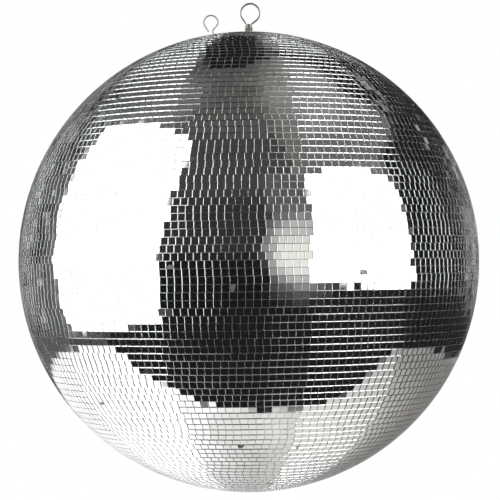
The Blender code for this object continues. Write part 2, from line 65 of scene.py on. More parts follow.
class Graph:
    """Adds nodes to one node tree. A value is a number, a colour or another node's output."""

    def __init__(self, tree):
        self.tree = tree

    def node(self, kind, settings=None, **inputs):
        made = self.tree.nodes.new(kind)
        for name, value in (settings or {}).items():
            setattr(made, name, value)
        for name, value in inputs.items():
            self.feed(made.inputs[name.replace("_", " ")], value)
        return made

    def feed(self, socket, value):
        if isinstance(value, bpy.types.NodeSocket):
            self.tree.links.new(value, socket)
        elif isinstance(value, (tuple, list, Vector)) and socket.type == "RGBA":
            socket.default_value = (*value[:3], 1)
        else:
            socket.default_value = value

    def math(self, operation, *values, clamp=False):
        made = self.node("ShaderNodeMath", {"operation": operation, "use_clamp": clamp})
        for socket, value in zip(made.inputs, values):
            self.feed(socket, value)
        return made.outputs[0]

    def vector(self, operation, *values):
        made = self.node("ShaderNodeVectorMath", {"operation": operation})
        for socket, value in zip(made.inputs, values):
            self.feed(socket, value)
        return made.outputs["Value" if operation == "DOT_PRODUCT" else "Vector"]

    def spread(self, value, low, high, to_low=0.0, to_high=1.0, smooth=True):
        made = self.node("ShaderNodeMapRange")
        made.interpolation_type = "SMOOTHSTEP" if smooth else "LINEAR"
        for socket, number in zip(made.inputs[:5], (value, low, high, to_low, to_high)):
            self.feed(socket, number)
        return made.outputs["Result"]

    def blend(self, share, first, second):
        """Colour blended from the first to the second, at the Mix node's colour sockets."""
        made = self.node("ShaderNodeMix", {"data_type": "RGBA"})
        for socket, value in ((0, share), (6, first), (7, second)):
            self.feed(made.inputs[socket], value)
        return made.outputs[2]

    def noise(self, scale, detail=3.0, roughness=0.5, vector=None, stretch=None):
        """Noise in object space, which lies still on a piece as it moves, or over a vector."""
        where = vector or self.node("ShaderNodeTexCoord").outputs["Object"]
        if stretch:
            where = self.vector("MULTIPLY", where, stretch)
        made = self.node(
            "ShaderNodeTexNoise", Vector=where, Scale=scale, Detail=detail, Roughness=roughness
        )
        return made.outputs["Fac"]

    def bump(self, height, strength, distance):
        made = self.node("ShaderNodeBump", Height=height, Strength=strength, Distance=distance)
        return made.outputs["Normal"]


def new_material(name):
    material = bpy.data.materials.new(name)
    material.use_nodes = True
    return material, Graph(material.node_tree), material.node_tree.nodes[PRINCIPLED]


def set_inputs(graph, shader, **values):
    for name, value in values.items():
        graph.feed(shader.inputs[name.replace("_", " ")], value)


# --- Materials ------------------------------------------------------------------------------


def clear_glass(name, roughness, scale, strength, depth, clear=1.0):
    """Float glass with faint waves of this scale, or its edges, which pass a little less."""
    material, graph, shader = new_material(name)
    set_inputs(
        graph, shader, Base_Color=(0.99, 1.0, 0.993), Roughness=roughness, IOR=1.52,
        Transmission_Weight=clear, Normal=graph.bump(graph.noise(scale, 1, 0.4), strength, depth),
    )
    return material


def silver_back():
    """The silvered back of the glass: every tile a slightly different tone, with faint haze."""
    material, graph, shader = new_material("silvered_back")
    tone = graph.node("ShaderNodeAttribute", {"attribute_name": "tile_tone"}).outputs["Fac"]
    silver = graph.blend(tone, (0.88, 0.89, 0.885), (0.96, 0.965, 0.96))
    haze = graph.noise(900, 4, 0.6)
    smears = graph.noise(35, 3, 0.55)
    dirt = graph.math("MULTIPLY", graph.spread(haze, 0.45, 0.8), graph.spread(smears, 0.35, 0.75))
    colour = graph.blend(graph.math("MULTIPLY", dirt, 0.10), silver, (0.55, 0.55, 0.52))
    roughness = graph.spread(dirt, 0, 1, 0.018, 0.07)
    set_inputs(graph, shader, Base_Color=colour, Metallic=1.0, Roughness=roughness)
    return material


def tile_adhesive():
    """The grey adhesive bed that shows between the tiles."""
    material, graph, shader = new_material("tile_adhesive")
    grains = graph.noise(1500, 4, 0.6)
    clouds = graph.noise(25, 3, 0.5)
    colour = graph.blend(graph.spread(clouds, 0.3, 0.7), (0.24, 0.24, 0.23), (0.31, 0.31, 0.30))
    colour = graph.blend(graph.spread(grains, 0.3, 0.7, 0.5, 0), colour, (0.20, 0.20, 0.19))
    set_inputs(
        graph, shader, Base_Color=colour, Roughness=0.55, Normal=graph.bump(grains, 0.6, 0.0002)
    )
    return material


def plated(name, colour, dull, roughness, stretch=(1, 1, 1)):
    """Plated steel: cloudy tone, fine drawn lines and small dull specks."""
    material, graph, shader = new_material(name)
    clouds = graph.noise(160, 4, 0.6)
    lines = graph.noise(1400, 3, 0.7, stretch=stretch)
    specks = graph.spread(graph.noise(2400, 2, 0.5), 0.68, 0.76)
    tone = graph.blend(graph.spread(clouds, 0.35, 0.7), colour, dull)
    tone = graph.blend(graph.math("MULTIPLY", specks, 0.6), tone, tuple(0.35 * c for c in dull))
    rough = graph.spread(clouds, 0.3, 0.7, roughness, roughness + 0.10)
    rough = graph.math("ADD", rough, graph.math("MULTIPLY", lines, 0.10))
    set_inputs(
        graph, shader, Base_Color=tone, Metallic=1.0, Roughness=rough,
        Normal=graph.bump(lines, 0.15, 0.00005),
    )
    return material


def moulded(name, light, dark, roughness, grain):
    """A moulded plastic with a fine spark-eroded grain and faint flow marks."""
    material, graph, shader = new_material(name)
    grains = graph.noise(grain, 3, 0.6)
    flow = graph.noise(18, 4, 0.6, stretch=(1, 1, 2.5))
    colour = graph.blend(graph.spread(flow, 0.3, 0.7), dark, light)
    set_inputs(
        graph, shader, Base_Color=colour, Specular_IOR_Level=0.45,
        Roughness=graph.spread(grains, 0.3, 0.7, roughness, roughness + 0.12),
        Normal=graph.bump(grains, 0.25, 0.0001),
    )
    return material


GLASS = clear_glass("float_glass", 0.0, 55, 0.10, 0.0006)
CUT_EDGE = clear_glass("cut_glass_edge", 0.15, 900, 0.2, 0.0001, clear=0.97)
SNAPPED_EDGE = clear_glass("snapped_glass_edge", 0.15, 1800, 0.5, 0.0002, clear=0.97)
SILVER = silver_back()
ADHESIVE = tile_adhesive()
BRIGHT = plated(
    "bright_plated_strip", (0.40, 0.39, 0.345), (0.27, 0.265, 0.23), 0.20, stretch=(0.2, 1, 0.2)
)
ZINC = plated("zinc_plated_steel", (0.30, 0.295, 0.25), (0.22, 0.215, 0.18), 0.36)
WIRE = plated(
    "drawn_steel_wire", (0.36, 0.36, 0.345), (0.29, 0.29, 0.28), 0.50, stretch=(0.3, 1, 0.3)
)
SHELL = moulded("grey_shell_plastic", (0.44, 0.44, 0.42), (0.36, 0.36, 0.35), 0.45, 2000)
NYLON = moulded("white_nylon", (0.82, 0.81, 0.76), (0.72, 0.71, 0.66), 0.35, 3000)

TILE_FINISHES = (GLASS, CUT_EDGE, SNAPPED_EDGE, SILVER)
FRONT_FINISH, CUT_FINISH, SNAPPED_FINISH, BACK_FINISH = range(4)

CAD_FINISHES = {"mirror": SILVER, "shell": SHELL, "ring": SHELL, "plug": SHELL, "bush": NYLON}


def finish_cad_nodes():
    """Gives every CAD node the material that a word of its name stands for."""
    for name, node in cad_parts.items():
        words = set(name.split("_"))
        if "rivet" in words or "safety" in words:
            material = ZINC
        else:
            material = next((m for word, m in CAD_FINISHES.items() if word in words), ZINC)
        node.data.materials.clear()
        node.data.materials.append(material)


# --- Mesh helpers ---------------------------------------------------------------------------


def add_piece(name, mesh, body, replaced=(), materials=()):
    piece = bpy.data.objects.new(name, mesh)
    bpy.context.scene.collection.objects.link(piece)
    for material in materials:
        mesh.materials.append(material)
    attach(piece, body)
    if replaced:
        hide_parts(*replaced)
    return piece


def apply_modifiers(piece):
    graph = bpy.context.evaluated_depsgraph_get()
    mesh = bpy.data.meshes.new_from_object(piece.evaluated_get(graph))
    piece.modifiers.clear()
    old, piece.data = piece.data, mesh
    bpy.data.meshes.remove(old)


def shade(piece, angle=35):
    """Smooth shading that keeps flat faces flat and edges over this angle sharp."""
    piece.data.shade_smooth()
    piece.data.set_sharp_from_angle(angle=math.radians(angle))
    weighted = piece.modifiers.new("flat_faces", "WEIGHTED_NORMAL")
    weighted.keep_sharp = True
    apply_modifiers(piece)


def lofted(rings, closed=False):
    """A closed mesh through these rings of points, with a cap on each end ring."""
    mesh = bpy.data.meshes.new("lofted")
    bm = bmesh.new()
    rows = [[bm.verts.new(point) for point in ring] for ring in rings]
    pairs = list(zip(rows, rows[1:])) + ([(rows[-1], rows[0])] if closed else [])
    for first, second in pairs:
        for i in range(len(first)):
            j = (i + 1) % len(first)
            bm.faces.new((first[i], first[j], second[j], second[i]))
    if not closed:
        bm.faces.new(rows[0][::-1])
        bm.faces.new(rows[-1])
    bmesh.ops.recalc_face_normals(bm, faces=bm.faces)
    bm.to_mesh(mesh)
    bm.free()
    return mesh


def turned(profile, sides, place, closed=False):
    """The (radius, height) points turned round the Z axis of the place matrix."""
    turn = [math.tau * k / sides for k in range(sides)]
    rings = []
    for radius, height in profile:
        ring = [(radius * math.cos(a), radius * math.sin(a), height) for a in turn]
        rings.append([place @ Vector(point) for point in ring])
    return lofted(rings, closed)


def boolean(piece, cutter_mesh, operation):
    """Joins a mesh to a piece, or cuts it out of the piece."""
    cutter = bpy.data.objects.new("cutter", cutter_mesh)
    bpy.context.scene.collection.objects.link(cutter)
    made = piece.modifiers.new("boolean", "BOOLEAN")
    made.operation, made.solver, made.object = operation, "EXACT", cutter
    bpy.context.view_layer.update()
    apply_modifiers(piece)
    bpy.data.objects.remove(cutter)
    bpy.data.meshes.remove(cutter_mesh)


def eased(corners, reach, steps=10):
    """The path through these corners, each one rounded over this reach on both sides."""
    path = [corners[0]]
    for before, corner, after in zip(corners, corners[1:], corners[2:]):
        start = corner + (before - corner).normalized() * reach
        end = corner + (after - corner).normalized() * reach
        for step in range(steps + 1):
            t = step / steps
            path.append(start * (1 - t) ** 2 + corner * (2 * t * (1 - t)) + end * t**2)
    path.append(corners[-1])
    return path


def on_circle(centre, radius, angle):
    return centre + radius * Vector((math.cos(angle), math.sin(angle)))


def on_arc(centre, radius, start, end, steps):
    """Points along an arc, both ends included."""
    angles = [start + (end - start) * k / steps for k in range(steps + 1)]
    return [on_circle(centre, radius, angle) for angle in angles]


def swept(path, sections):
    """A section carried along a path in the XZ plane. Section points are (across, along Y)."""
    rings = []
    for i, (point, section) in enumerate(zip(path, sections)):
        ahead, behind = path[min(i + 1, len(path) - 1)], path[max(i - 1, 0)]
        along = (ahead - behind).normalized()
        across = Vector((-along.y, along.x))
        ring = []
        for a, b in section:
            flat = point + across * a
            ring.append((flat.x, b, flat.y))
        rings.append(ring)
    return lofted(rings)


# --- Mirror tiles ---------------------------------------------------------------------------

BAND_ROWS = (6, 6, 6, 6, 6, 7, 7, 7)
ROW_ANGLE = math.pi / 2 / sum(BAND_ROWS)
STEEP_FROM_ROW = 24  # rows past this one share no columns with the next
BALL_LIMIT = 0.24998  # no tile corner lies further out
TILE = 0.00745
TILE_DEPTH = 0.0010
TILE_BEVEL = 0.00012
SLANT = (0.00008, 0.000145)  # how far a side leans in over the tile's depth
TILE_PITCH = 0.0077
TIGHT_PITCH = 0.00752  # closest that tiles stand at their edge towards a pole
ROWS_RISE = math.radians(0.8)  # the rows rise towards +X, seen from the camera
LEVEL_FROM = math.radians(30)  # towards the poles the rows come level

# How unevenly the tiles are laid
TILT_SPREAD = math.radians(0.33)
STRIP_TILT_SPREAD = math.radians(0.14)
TWIST_SPREAD = math.radians(0.35)
LOOSE_SHARE = 0.006
LOOSE_SPREAD = math.radians(1.0)
TILE_SIZES = (-0.010, 0.004)  # share of a side that a tile may lack or have more
SHIFT_ALONG = 0.05 * MM
SHIFT_ACROSS = 0.04 * MM
ROW_SHIFT = 0.5 * MM

# Room for the stem and the safety eye
STEM_HOLE = 0.0049
CUT_TILES = 6
CUT_TILE_SIZE = (0.0050, 0.0027)
CUT_TILE_GAP = 0.0003
EYE_LEAN = math.radians(8.9)
EYE_DIRECTION = Vector((-math.sin(EYE_LEAN), 0, math.cos(EYE_LEAN)))
EYE_ROOM = 0.0013

# Adhesive bed and bottom mirror
BED_RADIUS = 0.2488
BED_INSIDE = 0.24795
BED_GAP = 0.0002  # angle between the equator and each half of the bed
BED_TOP_HOLE = STEM_HOLE + 0.0004
BED_BOTTOM_HOLE = 0.0055
DISC_BEVEL = 0.0003
DISC_SINK = 0.00005
DISC_TONE = 0.7


class TileMesh:
    """Collects tiles and makes one mesh of them."""

    def __init__(self):
        self.points, self.faces, self.finishes, self.tones = [], [], [], []

    def add(self, outline, place, tone):
        """A flat tile with a bevelled front. The outline runs anticlockwise, from outside."""
        count = len(outline)
        middle = sum(outline, Vector((0, 0))) / count
        start = len(self.points)
        reach = max((p - middle).length for p in outline)
        inset = 1 - TILE_BEVEL * math.sqrt(2) / reach
        front = [middle + (p - middle) * inset for p in outline]
        lean_left = RANDOM.uniform(*SLANT)
        lean_right = -RANDOM.uniform(*SLANT)
        back = [p + Vector((lean_right if p.x > middle.x else lean_left, 0)) for p in outline]
        for ring, depth in ((front, 0), (outline, TILE_BEVEL), (back, TILE_DEPTH)):
            self.points += [place @ Vector((p.x, p.y, -depth)) for p in ring]
        rings = [range(start + k * count, start + (k + 1) * count) for k in range(3)]
        faces = [tuple(rings[0])]
        for high, low in zip(rings, rings[1:]):
            for i in range(count):
                j = (i + 1) % count
                faces.append((high[i], low[i], low[j], high[j]))
        faces.append(tuple(rings[2])[::-1])
        sides = [(CUT_FINISH, SNAPPED_FINISH)[i % 2] for i in range(count)]
        self.faces += faces
        self.finishes += [FRONT_FINISH] + sides * 2 + [BACK_FINISH]
        self.tones += [tone] * len(faces)

    def mesh(self, name):
        mesh = bpy.data.meshes.new(name)
        mesh.from_pydata(self.points, [], self.faces)
        mesh.polygons.foreach_set("material_index", self.finishes)
        tones = mesh.attributes.new("tile_tone", "FLOAT", "FACE")
        tones.data.foreach_set("value", self.tones)
        mesh.update()
        return mesh


def clipped(outline, point, away, room):
    """The outline without what lies within this much room of a point, cut straight across."""
    kept = []
    for i, p in enumerate(outline):
        q = outline[(i + 1) % len(outline)]
        dp, dq = (p - point).dot(away) - room, (q - point).dot(away) - room
        if dp >= 0:
            kept.append(p)
        if dp * dq < 0:
            kept.append(p + (q - p) * (dp / (dp - dq)))
    return kept


def row_lean(latitude):
    """How far a row at this latitude is out of level."""
    share = min(max((abs(latitude) - LEVEL_FROM) / (math.pi / 2 - LEVEL_FROM), 0), 1)
    return ROWS_RISE * (1 - share * share * (3 - 2 * share))


def tile_frame(latitude, azimuth):
    """Axes of a tile here: along the row, towards the pole, and out."""
    cos_lat, sin_lat = math.cos(latitude), math.sin(latitude)
    along = Vector((-math.sin(azimuth), math.cos(azimuth), 0))
    out = Vector((cos_lat * math.cos(azimuth), cos_lat * math.sin(azimuth), sin_lat))
    axes = Matrix((along, out.cross(along), out)).transposed()
    return Matrix.Rotation(-row_lean(latitude), 3, "Y") @ axes


def nearest_on_tile(point, half):
    """The point of a tile, half as wide and high as this, that is nearest to a point."""
    return Vector([min(max(p, -h), h) for p, h in zip(point, half)])


def place_tile(tiles, latitude, azimuth, size, tilt, avoid):
    """Lays one tile, unevenly, and cuts it back from what it has to avoid."""
    axes = tile_frame(latitude, azimuth)
    spread = LOOSE_SPREAD if RANDOM.random() < LOOSE_SHARE else TILT_SPREAD
    lean = Matrix.Rotation(RANDOM.gauss(tilt[0], spread), 3, "X")
    lean = lean @ Matrix.Rotation(RANDOM.gauss(tilt[1], spread), 3, "Y")
    lean = lean @ Matrix.Rotation(RANDOM.gauss(0, TWIST_SPREAD), 3, "Z")
    half = [0.5 * side * (1 + RANDOM.uniform(*TILE_SIZES)) for side in size]
    shift = Vector((RANDOM.gauss(0, SHIFT_ALONG), RANDOM.gauss(0, SHIFT_ACROSS)))
    corners = ((-1, -1), (1, -1), (1, 1), (-1, 1))
    outline = [Vector((half[0] * x, half[1] * y)) + shift for x, y in corners]
    reach = math.hypot(*half)
    face = math.sqrt(BALL_LIMIT**2 - reach**2)
    turn = axes @ lean
    for direction, room in avoid:
        flat = turn.transposed() @ direction
        if flat.z < 0.5:
            continue
        point = Vector((flat.x, flat.y)) * (face / flat.z)
        if (point - nearest_on_tile(point, half)).length < room:
            away = Vector((0, -1)) if point.y > 0 else Vector((0, 1))
            outline = clipped(outline, point, away, room)
            if len(outline) < 3:
                return
    out = axes @ Vector((0, 0, 1))
    place = Matrix.Translation(BALL_CENTRE + out * face) @ turn.to_4x4()
    furthest = max((place @ Vector((p.x, p.y, 0)) - BALL_CENTRE).length for p in outline)
    if furthest > BALL_LIMIT:
        place = Matrix.Translation(out * (BALL_LIMIT - furthest)) @ place
    tiles.add(outline, place, RANDOM.random())


def tiles_in_row(latitude):
    """How many tiles fit round a row without touching at their edge towards the pole."""
    radius = BALL_LIMIT * math.cos(latitude)
    polar_edge = radius - TILE / 2 * abs(math.sin(latitude))
    return math.floor(min(math.tau * radius / TILE_PITCH, math.tau * polar_edge / TIGHT_PITCH))


def strips_of(rows, steep):
    """Splits a band's rows into strips that were laid together and share their columns."""
    strips = []
    row = 0
    while row < rows:
        count = 1 if steep else RANDOM.choice((1, 1, 1, 2, 2))
        strips.append(range(row, min(row + count, rows)))
        row += count
    return strips


def tile_band(first_row, rows, sign):
    """All tiles of one band, except the row at the pole, which the stem or a disc takes."""
    tiles = TileMesh()
    avoid = [(EYE_DIRECTION, EYE_ROOM)] if sign > 0 else []
    last_row = sum(BAND_ROWS) - 1
    for strip in strips_of(rows, steep=first_row > STEEP_FROM_ROW):
        lines = [(first_row + k + 0.5) * ROW_ANGLE for k in strip]
        count = tiles_in_row(lines[-1])
        phase = RANDOM.uniform(0, math.tau)
        tilt = (RANDOM.gauss(0, STRIP_TILT_SPREAD), RANDOM.gauss(0, STRIP_TILT_SPREAD))
        for line, k in zip(lines, strip):
            if first_row + k == last_row:
                continue
            nudge = RANDOM.gauss(0, ROW_SHIFT) / (BALL_LIMIT * math.cos(line))
            for column in range(count):
                azimuth = phase + nudge + math.tau * column / count
                place_tile(tiles, sign * line, azimuth, (TILE, TILE), tilt, avoid)
    return tiles


def cut_tiles_round_stem(tiles):
    """Narrow cut tiles between the last whole row and the hole for the stem."""
    middle = STEM_HOLE + CUT_TILE_GAP + CUT_TILE_SIZE[1] / 2
    latitude = math.acos(middle / BALL_LIMIT)
    for column in range(CUT_TILES):
        azimuth = math.tau * (column + 0.3) / CUT_TILES
        place_tile(tiles, latitude, azimuth, CUT_TILE_SIZE, (0, 0), [])


def mirror_tiles():
    for side, sign in (("upper", 1), ("lower", -1)):
        first_row = 0
        for number, rows in enumerate(BAND_ROWS, 1):
            tiles = tile_band(first_row, rows, sign)
            if sign > 0 and number == len(BAND_ROWS):
                cut_tiles_round_stem(tiles)
            first_row += rows
            name = f"tiles_{side}_{number}"
            replaced = [f"mirror_band_{side}_{number}"]
            add_piece(name, tiles.mesh(name), "ball", replaced, TILE_FINISHES)


def bottom_mirror():
    """The round mirror over the bottom pole."""
    low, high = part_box("bottom_pole_mirror")
    radius = (high.x - low.x) / 2
    front = (radius - DISC_BEVEL, low.z + DISC_SINK)
    profile = [front, (radius, low.z + DISC_BEVEL), (radius, high.z)]
    mesh = turned(profile, 64, Matrix.Identity(4))
    replaced = ["bottom_pole_mirror"]
    add_piece("bottom_mirror_disc", mesh, "ball", replaced, TILE_FINISHES)
    tones = mesh.attributes.new("tile_tone", "FLOAT", "FACE")
    tones.data.foreach_set("value", [DISC_TONE] * len(mesh.polygons))
    for face in mesh.polygons:
        if face.normal.z < -0.9:
            face.material_index = FRONT_FINISH
        elif face.normal.z > 0.9:
            face.material_index = BACK_FINISH
        else:
            face.material_index = CUT_FINISH


def adhesive_bed():
    """The layer that the tiles are stuck in, in two halves like the shells under it."""
    sides, steps = 160, 40
    place = Matrix.Translation(BALL_CENTRE)
    for side, sign, hole in (("upper", 1, BED_TOP_HOLE), ("lower", -1, BED_BOTTOM_HOLE)):
        top = math.acos(hole / BED_RADIUS)
        latitudes = [BED_GAP + (top - BED_GAP) * k / steps for k in range(steps + 1)]
        outer = [(BED_RADIUS * math.cos(a), sign * BED_RADIUS * math.sin(a)) for a in latitudes]
        inner = [(BED_INSIDE * math.cos(a), sign * BED_INSIDE * math.sin(a)) for a in latitudes]
        mesh = turned(outer + inner[::-1], sides, place, closed=True)
        piece = add_piece(f"tile_bed_{side}", mesh, "ball", (), (ADHESIVE,))
        piece.data.shade_smooth()
        piece.data.set_sharp_from_angle(angle=math.radians(30))


# --- Hanging loop, rivet and stem -----------------------------------------------------------

STRIP_HALF_THICKNESS = 0.00065
STRIP_HALF_WIDTH = 0.0035
STRIP_ROUNDING = 0.0003
LEG_INSIDE = 0.0021
LEG_MIDDLE = LEG_INSIDE + STRIP_HALF_THICKNESS
LEG_TOP = 0.0053  # above the pivot
LEG_BEND = 0.0014
LEG_TIP_WIDTH = 0.08  # share of the strip's width left at the very tip of a leg
LEG_TIP_STEPS = 14
LOOP_RADIUS = 0.01035
LOOP_CENTRE = Vector((0.0015, STRIP_HALF_THICKNESS - LOOP_RADIUS))
LOOP_HOLE = 0.00165
PAST = 0.01  # how far a cutter reaches past the middle

RIVET_SHANK = 0.0015
RIVET_HEAD = 0.0030
RIVET_TAIL = 0.0022
RIVET_RIM = 0.0003  # height of a head's straight rim
RIVET_SEAT = 0.00012  # between a head and the leg under it
DOME_MIDDLE = 0.00005  # radius of the flat middle of a head

STEM_RADIUS = 0.004
STEM_SIDES = 40
STEM_HOLE_RADIUS = 0.0018
STEM_THREAD = 0.0007  # depth of the thread
STEM_THREAD_PITCH = 0.00125
STEM_THREAD_FROM = 0.009  # below the shoulder
STEM_PLAIN_TO = 0.006
STEM_TIP = 0.0006
STEM_TIP_RADIUS = 0.0031
SHOULDER_GAP = 0.0003  # between the legs' ends and the stem's shoulder
SHOULDER = ((0.0005, 0), (0.00015, 0.00015), (0, 0.0005))  # its rounding: (in, down)
TONGUE_ROOT = 0.001
TONGUE_ROUNDING = 0.0004
TONGUE = (0.00185, 0.0035)
TONGUE_TIP = ((0.0012, TONGUE), (0.0004, (0.0017, 0.0033)), (0, (0.0013, 0.0027)))


def rounded_section(half_a, half_b, radius, steps=4):
    """Points of a rectangle with rounded corners."""
    radius = min(radius, 0.98 * half_b, 0.98 * half_a)
    points = []
    for quarter, (x, y) in enumerate(((1, 1), (-1, 1), (-1, -1), (1, -1))):
        centre = Vector((x * (half_a - radius), y * (half_b - radius)))
        for step in range(steps + 1):
            angle = math.pi / 2 * (quarter + step / steps)
            points.append(tuple(on_circle(centre, radius, angle)))
    return points


def tangent_angle(point, side):
    """Where on the loop's circle a leg from this point meets it: side is 1 left, -1 right."""
    away = LOOP_CENTRE - point
    bearing = math.atan2(away.y, away.x)
    spread = math.asin(LOOP_RADIUS / away.length)
    return bearing + side * (spread + math.pi / 2)


def leg_end():
    """Depths of a leg's round end below the pivot, from the tip up, closest at the tip."""
    quarter = [math.pi / 2 * k / LEG_TIP_STEPS for k in range(LEG_TIP_STEPS, 0, -1)]
    return [-STRIP_HALF_WIDTH * math.sin(angle) for angle in quarter]


def hanging_loop():
    top = PIVOT.z + LEG_TOP
    left_top, right_top = Vector((-LEG_MIDDLE, top)), Vector((LEG_MIDDLE, top))
    start, end = tangent_angle(left_top, 1), tangent_angle(right_top, -1)
    bow = on_arc(LOOP_CENTRE, LOOP_RADIUS, start, end, steps=72)
    left = eased([Vector((-LEG_MIDDLE, PIVOT.z)), left_top, bow[0]], LEG_BEND)
    right = eased([bow[-1], right_top, Vector((LEG_MIDDLE, PIVOT.z))], LEG_BEND)
    left_end = [Vector((-LEG_MIDDLE, PIVOT.z + drop)) for drop in leg_end()]
    right_end = [Vector((LEG_MIDDLE, PIVOT.z + drop)) for drop in reversed(leg_end())]
    path = left_end + left[:-1] + bow + right[1:] + right_end
    tip = LEG_TIP_WIDTH * STRIP_HALF_WIDTH
    sections = []
    for point in path:
        below = max(PIVOT.z - point.y, 0)
        half = math.sqrt(max(STRIP_HALF_WIDTH**2 - below**2, tip**2))
        sections.append(rounded_section(STRIP_HALF_THICKNESS, half, STRIP_ROUNDING))
    strip = swept(path, sections)
    loop = add_piece("loop_strip", strip, "loop", ["hanging_loop"], (BRIGHT,))
    boolean(loop, pivot_hole(LOOP_HOLE), "DIFFERENCE")
    shade(loop)


def across_pivot():
    """Turns a piece's Z axis along +X, through the pivot."""
    return Matrix.Translation(PIVOT) @ Matrix.Rotation(math.pi / 2, 4, "Y")


def pivot_hole(radius):
    return turned([(radius, -PAST), (radius, PAST)], 32, across_pivot())


def domed(radius, height, foot, away, steps=8):
    """Profile of a domed rivet head on a straight foot, from its middle to its rim."""
    points = []
    for step in range(steps + 1):
        angle = math.pi / 2 * step / steps
        out = max(radius * math.sin(angle), DOME_MIDDLE)
        points.append((out, away * (foot + height * math.cos(angle))))
    return points


def loop_rivet():
    low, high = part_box("loop_rivet")
    seat = LEG_INSIDE + 2 * STRIP_HALF_THICKNESS + RIVET_SEAT
    foot = seat + RIVET_RIM
    tail = domed(RIVET_TAIL, high.x - seat - RIVET_RIM, foot, 1)
    head = domed(RIVET_HEAD, -low.x - seat - RIVET_RIM, foot, -1)
    shank = [(RIVET_TAIL, seat), (RIVET_SHANK, seat), (RIVET_SHANK, -seat), (RIVET_HEAD, -seat)]
    mesh = turned(tail + shank + head[::-1], 48, across_pivot())
    rivet = add_piece("rivet_domed", mesh, "loop", ["loop_rivet"], (ZINC,))
    shade(rivet)


def threaded_rings(radius, depth, pitch, top, bottom, sides, steps_per_turn=8):
    """Rings of a threaded rod, from the top down, its first and last turn running out."""
    rings = []
    count = math.ceil((top - bottom) / pitch * steps_per_turn)
    for k in range(count + 1):
        height = top + (bottom - top) * k / count
        fade = min(1, (top - height) / pitch, (height - bottom) / pitch + 0.3)
        ring = []
        for j in range(sides):
            turn = j / sides
            wave = abs(((height / pitch - turn) % 1) * 2 - 1)
            r = radius - depth * fade * wave
            ring.append((r * math.cos(math.tau * turn), r * math.sin(math.tau * turn), height))
        rings.append(ring)
    return rings


def swivel_stem():
    low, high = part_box("swivel_stem")
    shoulder = PIVOT.z - STRIP_HALF_WIDTH - SHOULDER_GAP
    ring = [math.tau * j / STEM_SIDES for j in range(STEM_SIDES)]
    ring = [(math.cos(turn), math.sin(turn)) for turn in ring]
    plain = [(STEM_RADIUS - inset, shoulder - drop) for inset, drop in SHOULDER]
    plain.append((STEM_RADIUS, shoulder - STEM_PLAIN_TO))
    rings = [[(r * x, r * y, height) for x, y in ring] for r, height in plain]
    rings += threaded_rings(
        STEM_RADIUS, STEM_THREAD, STEM_THREAD_PITCH, shoulder - STEM_THREAD_FROM,
        low.z + STEM_TIP, STEM_SIDES,
    )
    rings.append([(STEM_TIP_RADIUS * x, STEM_TIP_RADIUS * y, low.z) for x, y in ring])
    rod = lofted(rings)
    stem = add_piece("stem_threaded", rod, "stem", ["swivel_stem"], (ZINC,))
    path = [Vector((0, shoulder - TONGUE_ROOT))]
    path += [Vector((0, high.z - drop)) for drop, _ in TONGUE_TIP]
    halves = [TONGUE] + [half for _, half in TONGUE_TIP]
    sections = [rounded_section(a, b, TONGUE_ROUNDING) for a, b in halves]
    boolean(stem, swept(path, sections), "UNION")
    boolean(stem, pivot_hole(STEM_HOLE_RADIUS), "DIFFERENCE")
    shade(stem)


# --- Safety eye -----------------------------------------------------------------------------

# Heights are measured from the ball's centre, and the shank's along its lean
EYE_WIRE = 0.0008  # the wire's radius
EYE_WIRE_SIDES = 20
EYE_CENTRE = Vector((-0.0415, 0.26185))
EYE_RADIUS = 0.0077
EYE_ARC = (math.radians(-10), math.radians(206))
EYE_SHANK = (0.2325, 0.2425)
EYE_NECK = (0.2522, 0.2562)
EYE_SHOULDER = Vector((-0.0347, 0.2590))
EYE_NECK_BEND = 0.0016
EYE_TIP = Vector((-0.0439, 0.2515))
EYE_TIP_BEND = 0.0002
EYE_TIP_STEPS = 5
THINNEST_TIP = 0.00006


def on_eye_shank(distance):
    return Vector((-distance * math.sin(EYE_LEAN), distance * math.cos(EYE_LEAN)))


def safety_eye():
    bow = on_arc(EYE_CENTRE, EYE_RADIUS, *EYE_ARC, steps=60)
    neck = [on_eye_shank(distance) for distance in EYE_NECK] + [EYE_SHOULDER, bow[0]]
    neck = eased(neck, EYE_NECK_BEND)
    run = (EYE_TIP - bow[-1]).normalized()
    end = eased([bow[-2], bow[-1], EYE_TIP - run * EYE_WIRE], EYE_TIP_BEND, 3)[1:]
    path = [on_eye_shank(distance) for distance in EYE_SHANK] + neck[:-1] + bow[:-1] + end
    radii = [EYE_WIRE] * len(path)
    for step in range(1, EYE_TIP_STEPS + 1):
        angle = math.pi / 2 * step / EYE_TIP_STEPS
        path.append(EYE_TIP - run * EYE_WIRE * (1 - math.sin(angle)))
        radii.append(max(EYE_WIRE * math.cos(angle), THINNEST_TIP))
    path = [Vector((p.x, p.y + BALL_CENTRE.z)) for p in path]
    turn = [math.tau * k / EYE_WIRE_SIDES for k in range(EYE_WIRE_SIDES)]
    sections = [[(r * math.cos(a), r * math.sin(a)) for a in turn] for r in radii]
    wire = swept(path, sections)
    eye = add_piece("eye_wire", wire, "ball", ["safety_eye"], (WIRE,))
    shade(eye, 60)


# --- Studio ---------------------------------------------------------------------------------


def direction(azimuth, elevation):
    a, e = math.radians(azimuth), math.radians(elevation)
    return Vector((math.sin(a) * math.cos(e), -math.cos(a) * math.cos(e), math.sin(e)))


